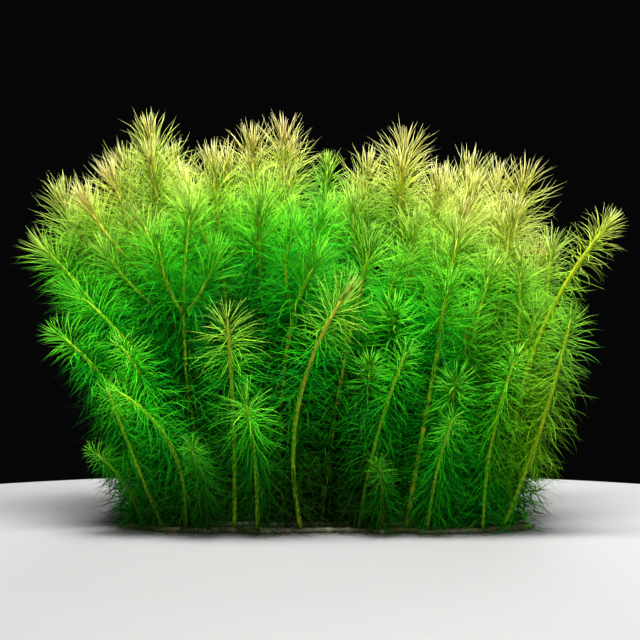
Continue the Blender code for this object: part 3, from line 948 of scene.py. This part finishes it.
def leaf_material():
    """Leaves coloured by age and painted light and shade, red at buds where painted light falls,
    pale at young tips and paler in painted light, a bit translucent.
    """
    material, tree, shader = new_material("needle_leaf", roughness=0.4)
    along, age, chance, light = look_values(tree)
    # Painted light and shade: deep shade colours low down, shaded ones higher, sunlit ones at the
    # top.
    out_of_painted_shade = math_node(tree, "DIVIDE", light, SHADE_LEVEL, clamp=True)
    lit = sunlit_share(tree, light)
    deep_shade, shaded = ramp(tree, age, DEEP_SHADE_LEAVES), ramp(tree, age, SHADED_LEAVES)
    colour = mix_colour(tree, out_of_painted_shade, deep_shade, shaded)
    colour = mix_colour(tree, lit, colour, ramp(tree, age, SUNLIT_LEAVES))

    tint = tree.nodes.new("ShaderNodeAttribute")
    tint.attribute_name = TINT
    # The bud's own red, shown only where painted light falls.
    red = product(tree, fading(tree, age, RED_FADE), product(tree, tint.outputs["Fac"], lit))
    red = product(tree, red, fading(tree, along, RED_FADE_ALONG))
    colour = mix_colour(tree, red, colour, RED_BUD)

    # Pale tips of young leaves: their own paleness, made paler and whiter by painted light and
    # dimmed in painted shade.
    pale = mix_colour(tree, lit, SHADED_TIP, SUNLIT_TIP)
    pale = mix_colour(tree, power(tree, lit, FULL_SUN_POWER), pale, FULL_SUN_TIP)
    youth = product(tree, fading(tree, age, PALE_FADE), PALE_SHARE)
    tip = product(tree, power(tree, along, PALE_POWER), youth, clamp=True)
    in_sun = scaled(tree, lit, PALE_IN_SUN, 1 - PALE_IN_SUN)
    tip = product(tree, tip, product(tree, out_of_painted_shade, in_sun))
    colour = mix_colour(tree, tip, colour, pale)

    value = scaled(tree, power(tree, chance, VALUE_POWER), VALUE_RANGE, LOWEST_VALUE)
    hue = scaled(tree, chance, HUE_RANGE, HIGHEST_HUE)
    varied = node(tree, "ShaderNodeHueSaturation", Color=colour, Value=value, Hue=hue)
    tree.links.new(varied.outputs["Color"], shader.inputs["Base Color"])
    shader.inputs["Specular IOR Level"].default_value = 0.03
    through = node(tree, "ShaderNodeBsdfTranslucent", Color=varied.outputs["Color"])
    both = tree.nodes.new("ShaderNodeMixShader")
    both.inputs["Fac"].default_value = TRANSLUCENCY
    tree.links.new(shader.outputs["BSDF"], both.inputs[1])
    tree.links.new(through.outputs["BSDF"], both.inputs[2])
    tree.links.new(both.outputs["Shader"], tree.nodes["Material Output"].inputs["Surface"])
    return material


def stem_material():
    """Stems coloured by age and painted light, redder by the shoot's tint where painted light
    falls, darker in deep painted shade, with a band at each joint.
    """
    material, tree, shader = new_material("jointed_stem", roughness=0.5)
    joint, age, tint, light = look_values(tree)
    lit = sunlit_share(tree, light)
    green, yellow = ramp(tree, age, SHADED_STEM), ramp(tree, age, SUNLIT_STEM)
    colour = mix_colour(tree, product(tree, lit, SUNLIT_STEM_RATE, clamp=True), green, yellow)
    # The stem's red shows only where painted light falls.
    redder = math_node(tree, "ADD", tint, RED_STEM_EXTRA)
    redder = product(tree, redder, lit, clamp=True)
    colour = mix_colour(tree, redder, colour, ramp(tree, age, RED_STEM))
    band = product(tree, power(tree, joint, JOINT_POWER), JOINT_SHARE)
    colour = mix_colour(tree, band, colour, STEM_JOINT)
    # Painted shade: stems go dark where the painted light level is low, towards the bottom of the
    # clump.
    out_of_painted_shade = math_node(tree, "DIVIDE", light, 0.5 * SHADE_LEVEL, clamp=True)
    colour = mix_colour(tree, out_of_painted_shade, DEEP_SHADE_STEM, colour)
    tree.links.new(colour, shader.inputs["Base Color"])
    shader.inputs["Specular IOR Level"].default_value = 0.06
    return material


def creeping_material():
    """Olive to brown skin in blotches, paler at the joints; the roots run from brown to straw."""
    material, tree, shader = new_material("creeping_stem_skin", roughness=0.55)
    along, _, chance, _ = look_values(tree)
    where = tree.nodes.new("ShaderNodeTexCoord").outputs["Object"]
    mottle = node(tree, "ShaderNodeTexNoise", Vector=where, Scale=220.0, Detail=4.0).outputs["Fac"]
    pale = product(tree, along, product(tree, chance, SKIN_PALENESS))
    colour = mix_colour(tree, pale, ramp(tree, mottle, SKIN_BLOTCHES), PALE_SKIN)
    tree.links.new(colour, shader.inputs["Base Color"])
    bump = node(tree, "ShaderNodeBump", Height=mottle, Strength=0.3, Distance=0.0003)
    tree.links.new(bump.outputs["Normal"], shader.inputs["Normal"])
    return material


# The photograph's view: its scale at the clump's middle, its ground line and its low, far camera.
PHOTO_SIDE = 640
PIXEL = 0.483 * MM
GROUND_LINE = 520
CAMERA_DISTANCE = 1.30
CAMERA_ELEVATION = math.radians(3.0)
SENSOR = 36.0

# The studio, in metres: each light's place, target, width and height, and its watts.
LIGHTS = {
    "key_above": ((0.0, -0.16, 0.78), (0, 0, 0.1), 0.45, 0.3, 22),
    "front_fill": ((0.15, -1.2, 0.5), (0, 0, 0.09), 0.5, 0.4, 8),
    "rim_behind": ((0.2, 0.9, 0.6), (0, 0, 0.12), 0.8, 0.4, 8),
}
FLOOR_RADIUS = 0.33
FLOOR_CENTRE = (0, -0.13, 0)
FLOOR_COLOUR = (0.2, 0.2, 0.196, 1)
BACKDROP_COLOUR = (0.002, 0.002, 0.0022, 1)


def add_camera():
    camera = bpy.data.cameras.new("camera")
    camera.sensor_width = SENSOR
    camera.lens = SENSOR * CAMERA_DISTANCE / (PHOTO_SIDE * PIXEL)
    holder = bpy.data.objects.new("camera", camera)
    bpy.context.scene.collection.objects.link(holder)
    aim = (GROUND_LINE - PHOTO_SIDE / 2) * PIXEL / math.cos(CAMERA_ELEVATION)
    holder.location = (
        0,
        -CAMERA_DISTANCE * math.cos(CAMERA_ELEVATION),
        aim + CAMERA_DISTANCE * math.sin(CAMERA_ELEVATION),
    )
    holder.rotation_euler = (math.pi / 2 - CAMERA_ELEVATION, 0, 0)
    bpy.context.scene.camera = holder


def add_area_light(name, place, target, width, height, watts):
    light = bpy.data.lights.new(name, "AREA")
    light.shape = "RECTANGLE"
    light.size = width
    light.size_y = height
    light.energy = watts
    holder = bpy.data.objects.new(name, light)
    bpy.context.scene.collection.objects.link(holder)
    holder.location = place
    way = mathutils.Vector(np.subtract(target, place))
    holder.rotation_euler = way.to_track_quat("-Z", "Y").to_euler()


def add_floor():
    bpy.ops.mesh.primitive_circle_add(
        vertices=128, radius=FLOOR_RADIUS, location=FLOOR_CENTRE, fill_type="NGON"
    )
    floor = bpy.context.object
    floor.name = "floor"
    material, _, shader = new_material("pale_floor", roughness=0.7)
    shader.inputs["Base Color"].default_value = FLOOR_COLOUR
    floor.data.materials.append(material)


def set_backdrop():
    world = bpy.data.worlds.new("studio")
    world.use_nodes = True
    background = world.node_tree.nodes["Background"]
    background.inputs["Color"].default_value = BACKDROP_COLOUR
    background.inputs["Strength"].default_value = 1.0
    bpy.context.scene.world = world
    bpy.context.scene.view_settings.view_transform = "Standard"


def main():
    rng = np.random.default_rng(SEED)
    leaves, stems, creeping = leaf_material(), stem_material(), creeping_material()
    rows = [shoots for _, shoots, _ in CREEPING_STEMS.values()]
    taken = [np.array(bud, float) for shoots in rows for _, _, bud, _ in shoots]
    for row, (lead_in, shoots, lead_out) in CREEPING_STEMS.items():
        points = lead_in + [shoot[0] for shoot in shoots] + lead_out
        path = catmull_rom(points, CREEPING_STEP)
        piece = creeping_piece(f"{row}_creeping_stem_skin", path, creeping, rng)
        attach(piece, "root")
        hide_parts(f"{row}_creeping_stem")
        for number, shoot in enumerate(shoots, 1):
            name = f"{row}_shoot_{number:02d}"
            piece = shoot_piece(name, row, shoot, taken, [leaves, stems], rng)
            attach(piece, "root")
            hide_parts(name)
    add_camera()
    add_floor()
    set_backdrop()
    for name, settings in LIGHTS.items():
        add_area_light(name, *settings)


main()
